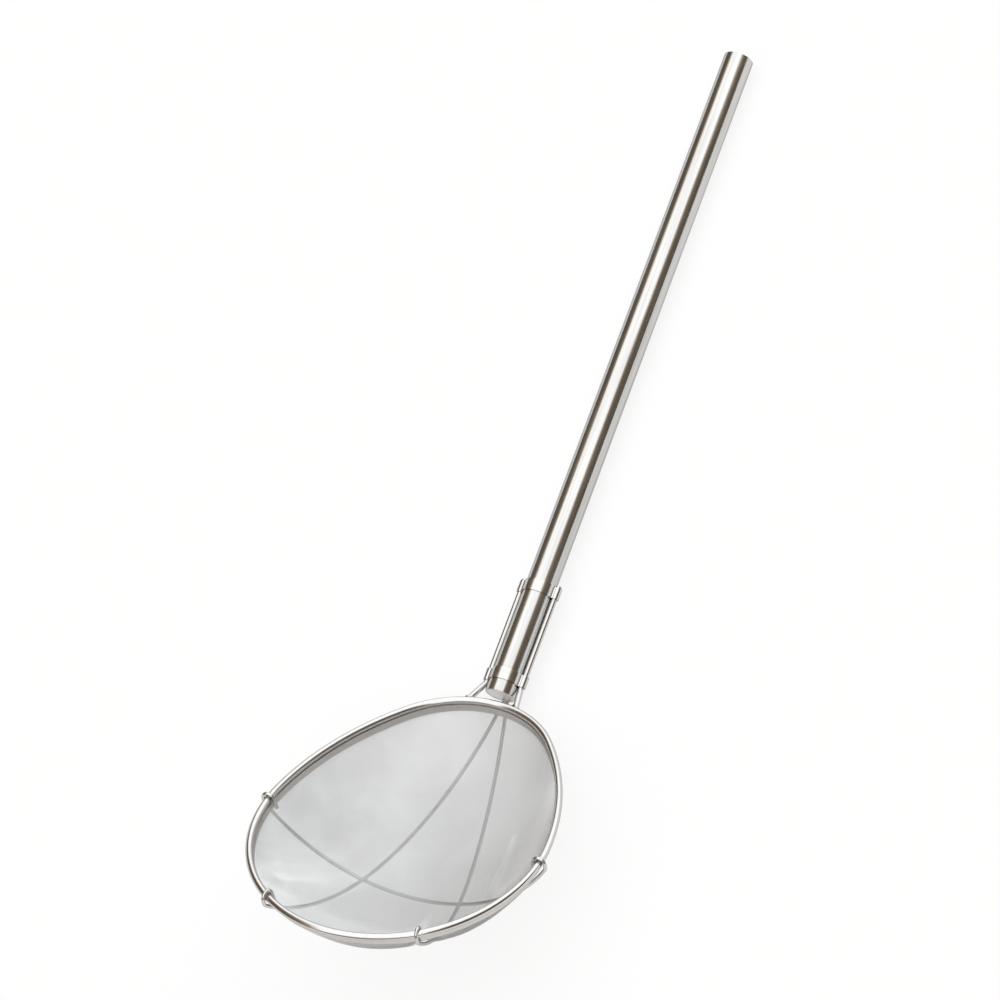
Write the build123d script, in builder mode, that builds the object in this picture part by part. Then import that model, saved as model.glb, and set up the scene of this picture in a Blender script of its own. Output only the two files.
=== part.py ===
"""Skimmer with a deep gauze bowl in an egg-shaped wire rim, held on a long tube by a wire fork.

It lies as it rests on a table: the long ribs and the far end of the tube touch Z = 0, +Y runs from
the bowl to the handle, +Z is up, and the origin is at the middle of the footprint.
"""

from build123d import *
from math import asin, atan, atan2, cos, degrees, hypot, pi, radians, sin, sqrt
import os

os.makedirs("parts", exist_ok=True)

# Handle tube, closed at both ends
tube_diameter = 25.4
tube_wall = 1.2
tube_length = 600.0
cap_thickness = 1.5
cap_clearance = 0.05
cap_edge = 0.3

# Where the tube's lower end stands, seen from the rim
neck_angle = radians(27.0)
neck_gap = 13.0
neck_drop = 2.0

# Rim: a round wire bent to an egg of four tangent arcs, measured on its centre line
rim_wire = 6.0
rim_front_radius = 120.0
rim_side_radius = 230.0
rim_back_radius = 85.0
rim_centre_spacing = 79.0

# Hem: a strip folded over the edge of the gauze and welded under the rim
hem_height = 6.0
hem_leg = 0.45
hem_slot = 0.6
hem_inset = 2.2
hem_weld_gap = 0.05

# Gauze bowl
gauze_thickness = 0.4
gauze_entry = 4.5
gauze_shoulder = 2.0
gauze_rib_gap = 0.3
gauze_shift = 8.0
gauze_fit_steps = 24
gauze_shoulder_steps = 3
gauze_floor_steps = 6
gauze_flat_share = 0.1

# Ribs: three wires under the gauze, hooked over the rim
rib_wire = 3.0
rib_gap = 0.1
crossing_gap = 0.3
rib_depth = 64.3
rib_low_point = 5.0
rib_weld_offset = 1.6
rib_weld_length = 14.0
rib_weld_bend = 20.0
rib_lead = 10.0
rib_shoulder = 6.0
rib_rise = 2.9
hook_clearance = 0.4
hook_swing = 172.0
hook_tip = 9.0
front_hook_bearing = radians(28.4)
side_hook_bearing = radians(80.8)
settling_rounds = 12

# Fork: two wires along the tube's sides that carry the rim
fork_wire = 5.0
fork_gap = 0.2
fork_bend = 10.0
fork_foot_spread = 21.5
fork_foot_rise = 0.3
fork_corner_lead = 2.5
fork_top_margin = 1.5
fork_weld_gap = 0.05

# Bands: two straps round the tube and the fork
band_height = 10.0
band_strap = 0.9
band_gap = 0.1
band_waist = 1.5
lower_band_station = 15.0
band_spacing = 80.0

# Lines that follow from the sizes above
tube_radius = tube_diameter / 2
rim_radius = rim_wire / 2
rib_radius = rib_wire / 2
fork_radius = fork_wire / 2
rim_half = (rim_front_radius + rim_centre_spacing + rim_back_radius) / 2
front_centre = rim_front_radius - rim_half
back_centre = rim_half - rim_back_radius
front_swing = rim_side_radius - rim_front_radius
back_swing = rim_side_radius - rim_back_radius
side_along = front_swing**2 - back_swing**2 + rim_centre_spacing**2
side_along /= 2 * rim_centre_spacing
side_across = sqrt(front_swing**2 - side_along**2)
side_centre = front_centre + side_along
front_joint = degrees(atan2(-side_along, side_across))
back_joint = degrees(atan2(rim_centre_spacing - side_along, side_across))
side_reach = rim_side_radius - side_across
tube_start = rim_half + neck_gap


def floor_arc(reach, depth, shoulder):
    """Radius and swing of an arc that starts level and ends tangent to an upright shoulder arc."""
    swing = 2 * atan((depth - shoulder) / (reach - shoulder))
    return shoulder + (reach - shoulder) / sin(swing), swing


def floor_through(level, across, reach, rise, shoulder):
    """Depth, radius and slope of a floor arc that passes a level at a distance across."""
    depth = level
    for _ in range(settling_rounds):
        radius, slope = floor_arc(reach, depth - rise, shoulder)
        depth = level + radius - sqrt(radius**2 - across**2)
    return depth, radius, slope


def lead_arc(reach, depth, lead):
    """Radius and slope of an arc that ends level after a straight lead down to it."""
    slope = 2 * atan(depth / (reach + lead))
    return (reach - lead * cos(slope)) / sin(slope), slope


def front_point(bearing):
    """Point of the rim's front arc at a bearing from straight ahead, seen from its middle."""
    lean = asin(front_centre * sin(bearing) / rim_front_radius)
    arm = rim_front_radius * cos(lean) - front_centre * cos(bearing)
    return arm * sin(bearing), -arm * cos(bearing)


# Long ribs: from the tube's underside to the front hooks, seen in the rim's own frame
hook_radius = rim_radius + rib_radius + hook_clearance
rib_offset = sqrt((tube_radius + rib_radius + rib_gap) ** 2 - rib_weld_offset**2)
rib_start = tube_start + rib_offset * sin(neck_angle)
rib_start_depth = neck_drop + rib_offset * cos(neck_angle)
front_hook_x, front_hook_y = front_point(front_hook_bearing)
fan = atan2(front_hook_x - rib_weld_offset, rib_start - front_hook_y)
rib_run = hypot(front_hook_x - rib_weld_offset, rib_start - front_hook_y)
rib_low_run = (rib_start - rib_low_point) / cos(fan)
back_radius, back_slope = lead_arc(rib_low_run, rib_depth - rib_start_depth, rib_lead)
front_reach = rib_run - rib_low_run + hook_radius
front_radius, front_slope = floor_arc(front_reach, rib_depth - rib_rise, rib_shoulder)

# Cross rib: from side hook to side hook, below the long ribs where it crosses them
side_hook_x, side_hook_y = front_point(side_hook_bearing)
crossing_run = (rib_start - side_hook_y) / cos(fan)
crossing_x = rib_weld_offset + crossing_run * sin(fan)
crossing_past = crossing_run - rib_low_run
crossing_depth = rib_depth - front_radius + sqrt(front_radius**2 - crossing_past**2)
cross_level = crossing_depth + rib_wire + crossing_gap
cross_depth, cross_radius, cross_slope = floor_through(
    cross_level, crossing_x, side_hook_x + hook_radius, rib_rise, rib_shoulder
)

# How the part lies: the plane that the long ribs and the far end of the tube touch
tube_end = tube_start + tube_length * cos(neck_angle) + tube_radius * sin(neck_angle)
tube_end_rise = tube_length * sin(neck_angle) - neck_drop - tube_radius * cos(neck_angle)
arc_rise = back_radius - rib_depth
lay = neck_angle
for _ in range(settling_rounds):
    arc_reach = back_radius * sqrt(1 - (sin(fan) * sin(lay)) ** 2) + rib_radius
    chord = hypot(tube_end - rib_low_point, tube_end_rise - arc_rise)
    lay = atan2(tube_end_rise - arc_rise, tube_end - rib_low_point) + asin(arc_reach / chord)
tube_top_back = tube_start + tube_length * cos(neck_angle) - tube_radius * sin(neck_angle)
tube_top_rise = tube_length * sin(neck_angle) - neck_drop + tube_radius * cos(neck_angle)
front_edge = -rim_half * cos(lay) - rim_radius
back_edge = tube_top_back * cos(lay) + tube_top_rise * sin(lay)
rim_height = tube_end * sin(lay) - tube_end_rise * cos(lay)

rim_plane = Plane(
    origin=(0, -(front_edge + back_edge) / 2, rim_height),
    x_dir=(1, 0, 0),
    z_dir=(0, sin(lay), cos(lay)),
)


def at_rim(x, y, z):
    """Point given from the rim's middle: across, towards the handle and out of the bowl."""
    return rim_plane.from_local_coords((x, y, z))


def along_rim(x, y, z):
    """Direction given in the rim's frame."""
    return at_rim(x, y, z) - rim_plane.origin


tube_axis = along_rim(0, cos(neck_angle), sin(neck_angle))
tube_plane = Plane(origin=at_rim(0, tube_start, -neck_drop), x_dir=(1, 0, 0), z_dir=tube_axis)


def draw_egg(inset=0, share=1, shift=0):
    """Draw the rim's outline in the current line, drawn in by inset or scaled by share."""
    sides = side_across * share
    level = side_centre * share + shift
    side = rim_side_radius * share - inset
    turn = back_joint - front_joint
    CenterArc((-sides, level), side, front_joint, turn)
    back = rim_back_radius * share - inset
    CenterArc((0, back_centre * share + shift), back, back_joint, 180 - 2 * back_joint)
    CenterArc((sides, level), side, 180 - back_joint, turn)
    front = rim_front_radius * share - inset
    CenterArc((0, front_centre * share + shift), front, 180 - front_joint, 180 + 2 * front_joint)


# Handle tube
with BuildPart() as handle_tube:
    with BuildSketch(tube_plane):
        Circle(tube_radius)
        Circle(tube_radius - tube_wall, mode=Mode.SUBTRACT)
    extrude(amount=tube_length)
handle_tube.part.label = "handle_tube"

# End caps: flat discs welded flush into the tube
cap_radius = tube_radius - tube_wall - cap_clearance
with BuildPart() as lower_end_cap:
    with BuildSketch(tube_plane):
        Circle(cap_radius)
    extrude(amount=cap_thickness)
    chamfer(lower_end_cap.edges(), length=cap_edge)
lower_end_cap.part.label = "lower_end_cap"

with BuildPart() as top_end_cap:
    with BuildSketch(tube_plane.offset(tube_length - cap_thickness)):
        Circle(cap_radius)
    extrude(amount=cap_thickness)
    chamfer(top_end_cap.edges(), length=cap_edge)
top_end_cap.part.label = "top_end_cap"

# Rim hoop
with BuildLine(rim_plane) as rim_path:
    draw_egg()
rim_line = rim_path.wire()
with BuildPart() as rim_hoop:
    with BuildSketch(Plane(origin=rim_line @ 0, z_dir=rim_line % 0)):
        Circle(rim_radius)
    sweep(path=rim_line)
rim_hoop.part.label = "rim_hoop"

# Fork wires: along the tube's sides, then out and down to the rim, coped to its round
fork_offset = tube_radius + fork_gap + fork_radius
fork_corner = lower_band_station - band_height / 2 - fork_corner_lead
fork_top = lower_band_station + band_spacing + band_height / 2 + fork_top_margin
fork_foot_y = back_centre + sqrt(rim_back_radius**2 - fork_foot_spread**2)


def fork_path(side):
    """Centre line of one fork wire, from its free top to the middle of the rim wire."""
    top = tube_plane.from_local_coords((side * fork_offset, 0, fork_top))
    corner = tube_plane.from_local_coords((side * fork_offset, 0, fork_corner))
    foot = at_rim(side * fork_foot_spread, fork_foot_y, fork_foot_rise)
    return FilletPolyline(top, corner, foot, radius=fork_bend)


with BuildPart() as rim_clearance:
    with BuildSketch(Plane(origin=rim_line @ 0, z_dir=rim_line % 0)):
        Circle(rim_radius + fork_weld_gap)
    sweep(path=rim_line)

for name, side in {"fork_wire_right": 1, "fork_wire_left": -1}.items():
    with BuildPart() as fork_wire_part:
        with BuildLine() as path:
            fork_path(side)
        line = path.wire()
        with BuildSketch(Plane(origin=line @ 0, z_dir=line % 0)):
            Circle(fork_radius)
        sweep(path=line)
        add(rim_clearance.part, mode=Mode.SUBTRACT)
    fork_wire_part.part.label = name
    export_step(fork_wire_part.part, f"parts/{name}.step")


# Bands: one thin strap each, with a lobe round each fork wire and a hollow waist beside it
band_outer = band_gap + band_strap
waist_reach = tube_radius + band_outer + band_waist
lobe_reach = fork_radius + band_outer + band_waist
waist_x = (waist_reach**2 - lobe_reach**2 + fork_offset**2) / (2 * fork_offset)
waist_y = sqrt(waist_reach**2 - waist_x**2)
tube_turn = degrees(atan2(waist_y, waist_x))
lobe_turn = degrees(atan2(waist_y, waist_x - fork_offset))


def draw_band(grow):
    """Draw the outline that hugs the tube and both fork wires at a distance."""
    waist = band_outer + band_waist - grow
    CenterArc((0, 0), tube_radius + grow, tube_turn, 90 - tube_turn)
    CenterArc((waist_x, waist_y), waist, 180 + tube_turn, lobe_turn - tube_turn)
    mirror(about=Plane.XZ)
    CenterArc((fork_offset, 0), fork_radius + grow, -lobe_turn, 2 * lobe_turn)
    mirror(about=Plane.YZ)


bands = {"lower_band": lower_band_station, "upper_band": lower_band_station + band_spacing}
for name, station in bands.items():
    with BuildPart() as band:
        with BuildSketch(tube_plane.offset(station - band_height / 2)):
            with BuildLine():
                draw_band(band_outer)
            make_face()
            with BuildLine():
                draw_band(band_gap)
            make_face(mode=Mode.SUBTRACT)
        extrude(amount=band_height)
    band.part.label = name
    export_step(band.part, f"parts/{name}.step")

# Hem: folded strip, open below, with the gauze's edge in its slot
hem_thickness = 2 * hem_leg + hem_slot
hem_outer = hem_inset - hem_thickness / 2
hem_top = sqrt((rim_radius + hem_weld_gap) ** 2 - max(0, hem_outer) ** 2)
hem_bottom = hem_top + hem_height
with BuildPart() as mesh_hem:
    with BuildSketch(rim_plane.offset(-hem_bottom)):
        with BuildLine():
            draw_egg(hem_outer)
        make_face()
        with BuildLine():
            draw_egg(hem_outer + hem_thickness)
        make_face(mode=Mode.SUBTRACT)
    extrude(amount=hem_height)
    with BuildSketch(rim_plane.offset(-hem_bottom)):
        with BuildLine():
            draw_egg(hem_outer + hem_leg)
        make_face()
        with BuildLine():
            draw_egg(hem_outer + hem_leg + hem_slot)
        make_face(mode=Mode.SUBTRACT)
    extrude(amount=hem_height - hem_leg, mode=Mode.SUBTRACT)
mesh_hem.part.label = "mesh_hem"

# Gauze bowl: a skirt in the hem's slot and a bowl of egg sections on two tangent arcs
gauze_inset = hem_inset - gauze_thickness / 2
gauze_reach = side_reach - gauze_inset


def outside_rim(x, y):
    """How far a point lies outside the rim's outline, and below zero inside it."""
    turn = degrees(atan2(y - side_centre, abs(x) + side_across))
    if turn > back_joint:
        return hypot(x, y - back_centre) - rim_back_radius
    if turn < front_joint:
        return hypot(x, y - front_centre) - rim_front_radius
    return hypot(abs(x) + side_across, y - side_centre) - rim_side_radius


def section_share(x, y):
    """Share of the bowl's egg section that passes over a point."""
    low, high = 0, 1
    for _ in range(gauze_fit_steps):
        share = (low + high) / 2
        if outside_rim(x / share, (y - gauze_shift * (1 - share)) / share) > -gauze_inset:
            low = share
        else:
            high = share
    return high


def bowl_clears(depth, places):
    """Whether a bowl of this depth stays above the ribs at each place, a share and a level."""
    radius, slope = floor_arc(gauze_reach, depth - hem_bottom, gauze_shoulder)
    for share, level in places:
        across = share * gauze_reach
        if across < radius * sin(slope):
            arm = sqrt(radius**2 - across**2)
            gap = (level - depth + radius - arm) * arm / radius
            if gap < rib_radius + gauze_rib_gap:
                return False
    return True


def long_rib_place(run, radius):
    """Where a long rib passes under the bowl: the section's share there and the rib's level."""
    share = section_share(rib_weld_offset + run * sin(fan), rib_start - run * cos(fan))
    return share, rib_depth - radius + sqrt(radius**2 - (run - rib_low_run) ** 2)


back_run = (rib_start - rim_half + rim_wire) / cos(fan)
rib_places = []
for step in range(gauze_fit_steps):
    share = step / gauze_fit_steps
    past = front_radius * sin(front_slope) * share
    rib_places.append(long_rib_place(rib_low_run + past, front_radius))
    before = (rib_low_run - back_run) * share
    rib_places.append(long_rib_place(rib_low_run - before, back_radius))
    across = cross_radius * sin(cross_slope) * share
    level = cross_depth - cross_radius + sqrt(cross_radius**2 - across**2)
    rib_places.append((section_share(across, side_hook_y), level))

shallow, gauze_depth = hem_bottom + gauze_shoulder, cross_depth
for _ in range(gauze_fit_steps):
    middle = (shallow + gauze_depth) / 2
    if bowl_clears(middle, rib_places):
        shallow = middle
    else:
        gauze_depth = middle


def bowl_section(share, drop, inset):
    """One egg section of the bowl, scaled by share, at a drop below the hem's lower edge."""
    with BuildSketch(rim_plane.offset(-hem_bottom - drop)) as section:
        with BuildLine():
            draw_egg(inset * share, share, gauze_shift * (1 - share))
        make_face()
    return section.sketch


def bowl_lofts(wall):
    """Loft the bowl's shoulder and floor, drawn in by wall from its outer surface."""
    inset = gauze_inset + wall
    reach = gauze_reach - wall
    depth = gauze_depth - hem_bottom - wall
    shoulder = gauze_shoulder - wall
    radius, slope = floor_arc(reach, depth, shoulder)
    upper = []
    for step in range(gauze_shoulder_steps + 1):
        turn = pi / 2 - (pi / 2 - slope) * step / gauze_shoulder_steps
        row = reach - shoulder * (1 - sin(turn))
        upper.append(bowl_section(row / reach, shoulder * cos(turn), inset))
    lower = []
    for step in range(gauze_floor_steps + 1):
        turn = slope * (1 - (1 - gauze_flat_share) * step / gauze_floor_steps)
        drop = depth - radius * (1 - cos(turn))
        lower.append(bowl_section(radius * sin(turn) / reach, drop, inset))
    return upper, lower


with BuildPart() as mesh_bowl:
    for sections in bowl_lofts(0):
        loft(sections)
    for sections in bowl_lofts(gauze_thickness):
        loft(sections, mode=Mode.SUBTRACT)
    with BuildSketch(rim_plane.offset(-hem_bottom)):
        with BuildLine():
            draw_egg(gauze_inset)
        make_face()
        with BuildLine():
            draw_egg(gauze_inset + gauze_thickness)
        make_face(mode=Mode.SUBTRACT)
    extrude(amount=gauze_entry)
mesh_bowl.part.label = "mesh_bowl"


# Ribs
def draw_hook(start):
    """Draw the end of a rib from its shoulder's end: up past the rim, over it and down inside."""
    rise = Line(start @ 1, (start @ 1) + (start % 1) * rib_rise)
    over = JernArc(rise @ 1, rise % 1, hook_radius, hook_swing)
    Line(over @ 1, (over @ 1) + (over % 1) * hook_tip)


def long_rib(side):
    """One long rib, from under the tube to its hook at the front of the rim."""
    corner = at_rim(side * rib_weld_offset, rib_start, -rib_start_depth)
    outward = along_rim(side * sin(fan), -cos(fan), 0)
    rib_plane = Plane(origin=corner, x_dir=outward, z_dir=outward.cross(rim_plane.z_dir))
    lead_end = rib_plane.from_local_coords((rib_lead * cos(back_slope), -rib_lead * sin(back_slope)))
    with BuildPart() as rib:
        with BuildLine(rib_plane) as path:
            weld = FilletPolyline(
                corner + tube_axis * rib_weld_length, corner, lead_end, radius=rib_weld_bend
            )
            back = JernArc(weld @ 1, weld % 1, back_radius, degrees(back_slope))
            front = JernArc(back @ 1, back % 1, front_radius, degrees(front_slope))
            shoulder = JernArc(front @ 1, front % 1, rib_shoulder, 90 - degrees(front_slope))
            draw_hook(shoulder)
        line = path.wire()
        with BuildSketch(Plane(origin=line @ 0, z_dir=line % 0)):
            Circle(rib_radius)
        sweep(path=line)
    return rib.part


support_rib_right = long_rib(1)
support_rib_right.label = "support_rib_right"
support_rib_left = long_rib(-1)
support_rib_left.label = "support_rib_left"

cross_plane = Plane(
    origin=at_rim(0, side_hook_y, -cross_depth), x_dir=(1, 0, 0), z_dir=along_rim(0, -1, 0)
)
with BuildPart() as cross_rib:
    with BuildLine(cross_plane) as cross_path:
        middle = JernArc((0, 0), (1, 0), cross_radius, degrees(cross_slope))
        bend = JernArc(middle @ 1, middle % 1, rib_shoulder, 90 - degrees(cross_slope))
        draw_hook(bend)
        mirror(about=Plane.YZ)
    cross_line = cross_path.wire()
    with BuildSketch(Plane(origin=cross_line @ 0, z_dir=cross_line % 0)):
        Circle(rib_radius)
    sweep(path=cross_line)
cross_rib.part.label = "cross_rib"

export_step(handle_tube.part, "parts/handle_tube.step")
export_step(lower_end_cap.part, "parts/lower_end_cap.step")
export_step(top_end_cap.part, "parts/top_end_cap.step")
export_step(rim_hoop.part, "parts/rim_hoop.step")
export_step(mesh_hem.part, "parts/mesh_hem.step")
export_step(mesh_bowl.part, "parts/mesh_bowl.step")
export_step(support_rib_right, "parts/support_rib_right.step")
export_step(support_rib_left, "parts/support_rib_left.step")
export_step(cross_rib.part, "parts/cross_rib.step")
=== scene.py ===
"""Dress the long-handled gauze skimmer for its pictures.

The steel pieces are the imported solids, each with its own finish. The gauze is pressed anew on the
rim's outline, with its weave and the bulges between its ribs, and the weld beads are added. Sizes
are in metres, and the rim's own frame is used for the places of the new pieces.
"""

import logging
from dataclasses import dataclass, field
from enum import Enum
from math import asin, atan, atan2, cos, exp, hypot, pi, radians, sin, sqrt, tau

import bmesh
import bpy
from mathutils import Matrix, Vector, noise


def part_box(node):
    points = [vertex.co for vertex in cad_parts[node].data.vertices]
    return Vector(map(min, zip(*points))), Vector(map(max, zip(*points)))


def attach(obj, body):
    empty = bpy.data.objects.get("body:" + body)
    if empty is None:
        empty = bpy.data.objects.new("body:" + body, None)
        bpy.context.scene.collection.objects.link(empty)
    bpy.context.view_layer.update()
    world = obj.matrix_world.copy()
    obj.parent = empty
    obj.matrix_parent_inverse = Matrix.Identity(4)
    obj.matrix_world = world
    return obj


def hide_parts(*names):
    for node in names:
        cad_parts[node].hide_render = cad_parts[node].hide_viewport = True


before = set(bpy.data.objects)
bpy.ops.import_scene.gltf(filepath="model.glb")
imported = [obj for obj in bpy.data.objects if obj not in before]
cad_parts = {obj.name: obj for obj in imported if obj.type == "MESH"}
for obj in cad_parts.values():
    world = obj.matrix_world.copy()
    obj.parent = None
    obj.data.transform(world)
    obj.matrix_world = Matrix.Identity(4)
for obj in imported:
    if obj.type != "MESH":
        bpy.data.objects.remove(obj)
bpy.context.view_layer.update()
BODY = "root"
MERGE_DISTANCE = 1e-6
SIDEWAYS = Vector((1.0, 0.0, 0.0))

log = logging.getLogger("skimmer")

Place = tuple[float, float, float]
Colour = tuple[float, float, float]


class Grain(Enum):
    """The way the marks of drawing or brushing run on a steel piece."""

    ALONG_TUBE = (1.0, 0.012, 1.0)
    ROUND_WIRE = (1.0, 1.0, 1.0)
    ACROSS_STRAP = (0.05, 1.0, 0.05)


def smooth_step(low: float, high: float, value: float) -> float:
    """Rise smoothly from 0 at low to 1 at high.

    Args:
        low: where the rise starts.
        high: where the rise ends.
        value: the place asked for.

    Returns:
        The height of the step there, from 0 to 1.
    """
    share = min(1.0, max(0.0, (value - low) / (high - low)))
    return share * share * (3 - 2 * share)


@dataclass
class RimFrame:
    """The rim's own frame: across, towards the handle, and out of the bowl.

    The rim's outline is an egg of four tangent arcs, measured on the wire's centre line.
    """

    wire: float = 0.006
    front_radius: float = 0.120
    side_radius: float = 0.230
    back_radius: float = 0.085
    spacing: float = 0.079
    middle: Vector = field(init=False)
    lay: float = field(init=False)

    def __post_init__(self) -> None:
        """Read the rim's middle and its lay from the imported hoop."""
        low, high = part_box("rim_hoop")
        self.middle = (low + high) / 2
        self.lay = atan2(high.z - low.z - self.wire, high.y - low.y - self.wire)

    @property
    def half(self) -> float:
        """Half of the outline's length."""
        return (self.front_radius + self.spacing + self.back_radius) / 2

    @property
    def front_centre(self) -> float:
        """Place of the front arc's centre along the rim's length."""
        return self.front_radius - self.half

    @property
    def back_centre(self) -> float:
        """Place of the back arc's centre along the rim's length."""
        return self.half - self.back_radius

    @property
    def side_along(self) -> float:
        """Distance of the side arcs' centres from the front arc's, along the rim's length."""
        front, back = self.side_radius - self.front_radius, self.side_radius - self.back_radius
        return (front**2 - back**2 + self.spacing**2) / (2 * self.spacing)

    @property
    def side_across(self) -> float:
        """Distance of the side arcs' centres from the rim's long axis."""
        return sqrt((self.side_radius - self.front_radius) ** 2 - self.side_along**2)

    def at(self, x: float, y: float, z: float) -> Vector:
        """Find a point that is given in the rim's frame.

        Args:
            x: distance across the rim.
            y: distance towards the handle.
            z: distance out of the bowl.

        Returns:
            The point in the shared frame.
        """
        return self.middle + self.along(x, y, z)

    def along(self, x: float, y: float, z: float) -> Vector:
        """Turn a direction from the rim's frame.

        Args:
            x: its part across the rim.
            y: its part towards the handle.
            z: its part out of the bowl.

        Returns:
            The direction in the shared frame.
        """
        c, s = cos(self.lay), sin(self.lay)
        return Vector((x, y * c + z * s, z * c - y * s))

    def reach(self, bearing: float, inset: float) -> float:
        """Measure how far the outline is from the long axis at the level of the side arcs' centres.

        Args:
            bearing: angle from straight across, towards the handle.
            inset: how far the outline is drawn in.

        Returns:
            The distance of the outline from that point.
        """
        base = self.front_centre + self.side_along
        ray = Vector((abs(cos(bearing)), sin(bearing)))
        arcs = (
            (Vector((0.0, self.back_centre - base)), self.back_radius - inset),
            (Vector((0.0, self.front_centre - base)), self.front_radius - inset),
            (Vector((-self.side_across, 0.0)), self.side_radius - inset),
        )
        reaches = []
        for centre, radius in arcs:
            lean = ray.dot(centre)
            square = lean**2 - centre.length_squared + radius**2
            reaches.append(lean + sqrt(max(0.0, square)))
        back_turn = atan2(self.spacing - self.side_along, self.side_across)
        front_turn = atan2(-self.side_along, self.side_across)
        side = ray * reaches[2]
        turn = atan2(side.y, side.x + self.side_across)
        if turn > back_turn:
            return reaches[0]
        if turn < front_turn:
            return reaches[1]
        return reaches[2]

    def outline(self, bearing: float, inset: float, share: float, shift: float) -> Vector:
        """Find a point of an outline like the rim's, in the rim's plane.

        Args:
            bearing: angle from straight across, towards the handle.
            inset: how far the outline is drawn in at full size.
            share: scale of the outline.
            shift: how far the scaled outline stands towards the handle.

        Returns:
            The point as a vector of two numbers.
        """
        length = self.reach(bearing, inset)
        base = self.front_centre + self.side_along
        x, y = length * cos(bearing), base + length * sin(bearing)
        return Vector((x * share, y * share + shift))

    def front_point(self, bearing: float) -> Vector:
        """Find a point of the front arc.

        Args:
            bearing: angle from straight ahead, seen from the rim's middle.

        Returns:
            The point in the rim's plane.
        """
        lean = asin(self.front_centre * sin(bearing) / self.front_radius)
        arm = self.front_radius * cos(lean) - self.front_centre * cos(bearing)
        return Vector((arm * sin(bearing), -arm * cos(bearing)))


@dataclass
class TubeFrame:
    """The handle tube's place, seen from the rim."""

    rim: RimFrame
    radius: float = 0.0127
    length: float = 0.600
    angle: float = radians(27.0)
    gap: float = 0.013
    drop: float = 0.002

    @property
    def axis(self) -> Vector:
        """Direction of the tube from the rim to its far end."""
        return self.rim.along(0.0, cos(self.angle), sin(self.angle))

    @property
    def up(self) -> Vector:
        """Direction square to the tube's axis, away from the table."""
        return self.rim.along(0.0, -sin(self.angle), cos(self.angle))

    def at(self, x: float, up: float, station: float) -> Vector:
        """Find a point that is given from the tube's lower end.

        Args:
            x: distance across the tube.
            up: distance square to the axis, away from the table.
            station: distance along the axis.

        Returns:
            The point in the shared frame.
        """
        start = self.rim.at(0.0, self.rim.half + self.gap, -self.drop)
        return start + Vector((x, 0.0, 0.0)) + self.up * up + self.axis * station


@dataclass
class RibLines:
    """The lines of the three ribs under the gauze, in the rim's frame."""

    rim: RimFrame
    tube: TubeFrame
    wire: float = 0.003
    gap: float = 0.0001
    crossing_gap: float = 0.0003
    depth: float = 0.0643
    low_point: float = 0.005
    weld_offset: float = 0.0016
    weld_length: float = 0.014
    shoulder: float = 0.006
    rise: float = 0.0029
    hook_clearance: float = 0.0004
    front_bearing: float = radians(28.4)
    side_bearing: float = radians(80.8)

    @property
    def hang(self) -> float:
        """Distance of a long rib's start below the tube's axis."""
        return sqrt((self.tube.radius + self.wire / 2 + self.gap) ** 2 - self.weld_offset**2)

    @property
    def start(self) -> float:
        """Where the long ribs leave the tube, towards the handle from the rim's middle."""
        return self.rim.half + self.tube.gap + self.hang * sin(self.tube.angle)

    @property
    def side_level(self) -> float:
        """Where the cross rib lies along the rim's length."""
        return self.rim.front_point(self.side_bearing).y

    @property
    def fan(self) -> float:
        """Angle of a long rib from the rim's long axis."""
        hook = self.rim.front_point(self.front_bearing)
        return atan2(hook.x - self.weld_offset, self.start - hook.y)

    def crossing(self) -> Vector:
        """Find where a long rib and the cross rib meet, between the two wires.

        Returns:
            The point in the rim's frame, on the positive side.
        """
        run = (self.start - self.side_level) / cos(self.fan)
        low_run = (self.start - self.low_point) / cos(self.fan)
        hook = self.rim.front_point(self.front_bearing)
        full = hypot(hook.x - self.weld_offset, self.start - hook.y)
        hook_radius = self.rim.wire / 2 + self.wire / 2 + self.hook_clearance
        reach = full - low_run + hook_radius
        swing = 2 * atan((self.depth - self.rise - self.shoulder) / (reach - self.shoulder))
        radius = self.shoulder + (reach - self.shoulder) / sin(swing)
        level = self.depth - radius + sqrt(radius**2 - (run - low_run) ** 2)
        x = self.weld_offset + run * sin(self.fan)
        return Vector((x, self.side_level, -level - self.wire / 2 - self.crossing_gap / 2))

    def nearest(self, x: float, y: float) -> float:
        """Measure how far a point of the rim's plane is from the lines of the ribs.

        Args:
            x: the point's distance across the rim.
            y: the point's distance towards the handle.

        Returns:
            The distance to the nearest rib.
        """
        long_rib = abs(
            (abs(x) - self.weld_offset) * cos(self.fan) - (self.start - y) * sin(self.fan)
        )
        return min(long_rib, abs(y - self.side_level))


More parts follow.
